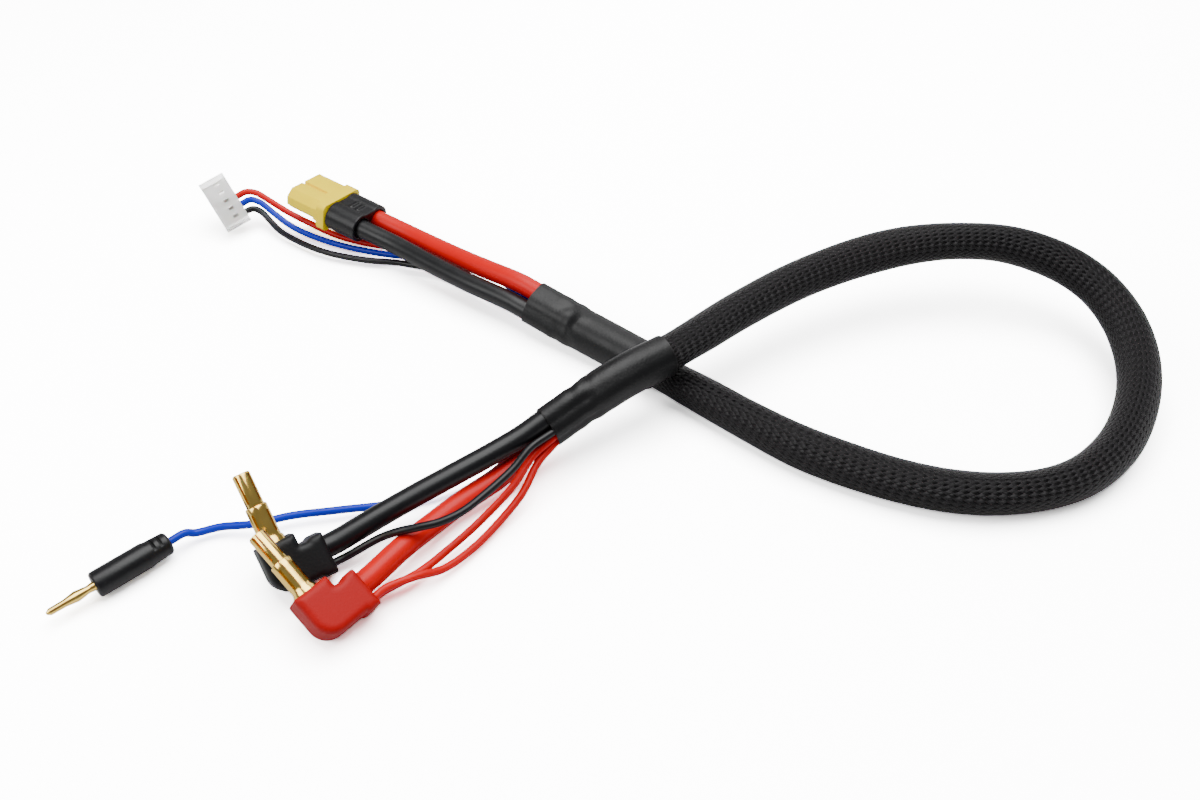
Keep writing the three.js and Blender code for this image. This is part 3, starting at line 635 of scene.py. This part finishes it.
melted("plug_cover", "power_plug_cover", black_nylon, 0.2 * MM, 6, body="cover")
melted("red_elbow", "elbow_housing_red", red_boot, 0.24 * MM, 14)
melted("black_elbow", "elbow_housing_black", black_boot, 0.24 * MM, 14)

# %% [markdown]
# ## The bullets
# A bullet plug is turned from one brass rod and plated: a shoulder in the mouth of the boot, a thick part,
# a ring, and a thinner part, so that it fits two sizes of socket. Four saw cuts in each part let it spring.
# The profile is spun round its axis, and each cut is a strip of its faces that is extruded inwards.

# %% Bullets
SHOULDER, THICK, THIN = 2.75 * MM, 2.35 * MM, 1.9 * MM     # radii
HIDDEN_LENGTH, THICK_LENGTH, THIN_LENGTH = 8 * MM, 8.3 * MM, 7.5 * MM
SIDES, CUTS, CUT_DEPTH = 48, 4, 0.9 * MM


def cut_strip(bm, low, high, turn):
    """Sink the faces between two heights that lie in one direction from the axis."""
    strip = []
    for face in bm.faces:
        middle = face.calc_center_median()
        away = (math.atan2(middle.y, middle.x) - turn + math.pi) % math.tau - math.pi
        if low < middle.z < high and len(face.verts) == 4 and abs(away) < math.tau / SIDES:
            strip.append(face)
    sunk = bmesh.ops.extrude_face_region(bm, geom=strip)["geom"]
    bmesh.ops.delete(bm, geom=strip, context="FACES_ONLY")
    inward = Vector((-math.cos(turn), -math.sin(turn), 0)) * CUT_DEPTH
    bmesh.ops.translate(bm, vec=inward, verts=[v for v in sunk if isinstance(v, bmesh.types.BMVert)])


def bullet(name, node, mount):
    """A bullet with its tip at the mount of the record."""
    tip = next(m for m in frame["record"]["mounts"] if m["name"] == mount)
    along, end = Vector(tip["axis"]).normalized(), Vector(tip["pos_m"])
    step = -THIN_LENGTH
    mouth = step - THICK_LENGTH
    thick_cut = (mouth + 1.9 * MM, step - 1.5 * MM)
    thin_cut = (step + 0.9 * MM, -0.45 * MM)
    rings = [(mouth - HIDDEN_LENGTH, SHOULDER), (mouth + 0.5 * MM, SHOULDER), (mouth + 1.1 * MM, THICK),
             (thick_cut[0], THICK), (thick_cut[1], THICK), (step - 0.35 * MM, THICK),
             (step - 0.1 * MM, THICK - 0.12 * MM), (step, THIN + 0.1 * MM), (step + 0.1 * MM, THIN),
             (thin_cut[0], THIN), (thin_cut[1], THIN), (-0.12 * MM, THIN - 0.15 * MM),
             (0, THIN - 0.45 * MM)]
    bm = bmesh.new()
    verts = [bm.verts.new((radius, 0, height)) for height, radius in rings]
    edges = [bm.edges.new(pair) for pair in zip(verts, verts[1:])]
    bmesh.ops.spin(bm, geom=verts + edges, cent=(0, 0, 0), axis=(0, 0, 1), angle=math.tau, steps=SIDES,
                   use_merge=True)
    bmesh.ops.holes_fill(bm, edges=[e for e in bm.edges if e.is_boundary], sides=0)
    bmesh.ops.recalc_face_normals(bm, faces=bm.faces)
    for low, high in (thick_cut, thin_cut):
        for quarter in range(CUTS):
            cut_strip(bm, low, high, math.tau * (quarter + 0.5) / CUTS)
    shade_smooth(bm)
    turned = Matrix.Translation(end) @ along.to_track_quat("Z", "Y").to_matrix().to_4x4()
    bmesh.ops.transform(bm, matrix=turned, verts=bm.verts)
    stands_for(new_piece(name, bm, gold_plate), node)


bullet("red_bullet", "bullet_red", "bullet_red_tip")
bullet("black_bullet", "bullet_black", "bullet_black_tip")

# %% [markdown]
# The contacts, cores and terminals sit deep inside their housings. Their solids are good enough as they
# are and only take a metal finish.

# %% Inner metal
for node in ("power_contact_red", "power_contact_black"):
    frame["nodes"][node].data.materials[0] = gold_plate
for node in ("power_core_red", "power_core_black", "bullet_core_red", "bullet_core_black",
             "balance_terminal_red", "balance_terminal_blue", "balance_terminal_black"):
    frame["nodes"][node].data.materials[0] = tinned_copper

# %% [markdown]
# ## Table and light
# The ground is white, and brighter than anything that lies on it. If the lights alone made it so, they
# would wash out the colours of the lead. So the table is a matte white that looks brighter to the
# camera than to the lead, which the Light Path node tells apart, and its soft shadows stay. The room does
# the same. One large light hangs above, and two weaker ones shine from a window and from behind. All of
# this belongs to the stage, not to the part.

# %% Stage
floor_mesh = bmesh.new()
bmesh.ops.create_grid(floor_mesh, x_segments=1, y_segments=1, size=3)
mesh = bpy.data.meshes.new("table")
floor_mesh.to_mesh(mesh)
floor_mesh.free()
floor = bpy.data.objects.new("table", mesh)
bpy.context.scene.collection.objects.link(floor)
white_table = bpy.data.materials.new("white table")
white_table.use_nodes = True
tree = white_table.node_tree
tree.nodes.remove(tree.nodes["Principled BSDF"])
seen = tree.nodes.new("ShaderNodeLightPath").outputs["Is Camera Ray"]
to_the_lead, to_the_camera = (0.6, 0.6, 0.6, 1), (7.0, 7.0, 7.0, 1)
paper = add_node(tree, "ShaderNodeMix", {"data_type": "RGBA"}, i0=seen, i6=to_the_lead, i7=to_the_camera)
matte = add_node(tree, "ShaderNodeBsdfDiffuse", Color=paper.outputs[2])
tree.links.new(matte.outputs["BSDF"], tree.nodes["Material Output"].inputs["Surface"])
floor.data.materials.append(white_table)


def soft_light(name, where, size, power):
    """A square light at a place of the table, in mm, that shines at the middle of the lead."""
    data = bpy.data.lights.new(name, "AREA")
    data.size, data.energy = size, power
    light = bpy.data.objects.new(name, data)
    light.location = place(where)
    light.rotation_euler = (place((0, 0, 0)) - light.location).to_track_quat("-Z", "Y").to_euler()
    bpy.context.scene.collection.objects.link(light)


for name, where, size, power in (("ceiling", (60, 120, 700), 0.7, 10),
                                 ("window", (-500, -250, 420), 0.4, 2.6),
                                 ("back", (150, 600, 300), 0.4, 0.8)):
    soft_light(name, where, size, power)
world = bpy.data.worlds.new("room")
world.use_nodes = True
tree = world.node_tree
tree.nodes["Background"].inputs["Color"].default_value = (1, 1, 1, 1)
seen = tree.nodes.new("ShaderNodeLightPath").outputs["Is Camera Ray"]
strength = maths(tree, "ADD", 0.2, maths(tree, "MULTIPLY", seen, 5.0))
tree.links.new(strength, tree.nodes["Background"].inputs["Strength"])
bpy.context.scene.world = world
